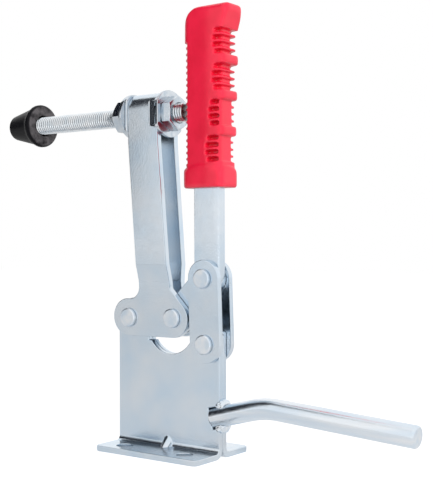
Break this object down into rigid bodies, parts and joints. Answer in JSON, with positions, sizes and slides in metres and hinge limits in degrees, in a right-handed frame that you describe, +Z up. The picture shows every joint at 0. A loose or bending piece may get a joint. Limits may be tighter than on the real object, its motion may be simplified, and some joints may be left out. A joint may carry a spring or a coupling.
{
  "type": "toggle clamp",
  "caption": "Vertical-handle toggle clamp: folded sheet base and arm, rubber-tipped spindle, upright grip and a welded side rod.",
  "frame": {"origin": "on the surface the feet stand on, at the centre of the four foot holes, in the plane where the two base plates meet", "axes": "+Z up; +X along the base plates towards the welded rod, away from the rubber tip; Y across the plates"},
  "size_m": [0.2073, 0.037, 0.1848],
  "materials": {
    "zinc_sheet": "bright zinc plate, satin",
    "zinc_fastener": "bright zinc plate, smooth",
    "zinc_rod": "bright zinc plate over drawn bar",
    "weld": "plated weld metal, uneven",
    "red_grip": "moulded, semi-gloss",
    "black_rubber": "smooth, slight sheen"
  },
  "bodies": {
    "base": {"base_plate_front": "zinc_sheet", "base_plate_rear": "zinc_sheet", "support_rod": "zinc_rod", "rod_welds": "weld", "rivet_arm_base": "zinc_fastener", "rivet_link_base_core": "zinc_fastener"},
    "arm": {"arm": "zinc_sheet", "flanged_washer_front": "zinc_fastener", "flanged_washer_rear": "zinc_fastener", "spindle_nut_front": "zinc_fastener", "spindle_nut_rear": "zinc_fastener", "rivet_arm_handle": "zinc_fastener"},
    "spindle": {"spindle": "zinc_fastener", "rubber_tip": "black_rubber"},
    "handle": {"handle_bar": "zinc_sheet", "grip": "red_grip", "rivet_handle_link": "zinc_fastener"},
    "links": {"link_front": "zinc_sheet", "link_rear": "zinc_sheet", "rivet_link_base_front": "zinc_fastener", "rivet_link_base_rear": "zinc_fastener"}
  },
  "joints": [
    {"name": "arm_hinge", "type": "hinge", "parent": "base", "child": "arm", "pos_m": [-0.0186, 0, 0.0561], "axis": [0, -1, 0], "range_deg": [0, 82]},
    {"name": "handle_hinge", "type": "hinge", "parent": "arm", "child": "handle", "pos_m": [0.00506, 0, 0.0567], "axis": [0, 1, 0], "range_deg": [0, 170.6]},
    {"name": "link_hinge", "type": "hinge", "parent": "handle", "child": "links", "pos_m": [0.02061, 0, 0.07349], "axis": [0, -1, 0], "range_deg": [0, 135.4]},
    {"name": "spindle_slide", "type": "slide", "parent": "arm", "child": "spindle", "axis": [-1, 0, 0], "range_m": [-0.0003, 0.0019]}
  ],
  "couplings": [
    {"joint": "handle_hinge", "follows": "arm_hinge", "ratio": 2.0798},
    {"joint": "link_hinge", "follows": "arm_hinge", "ratio": 1.6499}
  ]
}
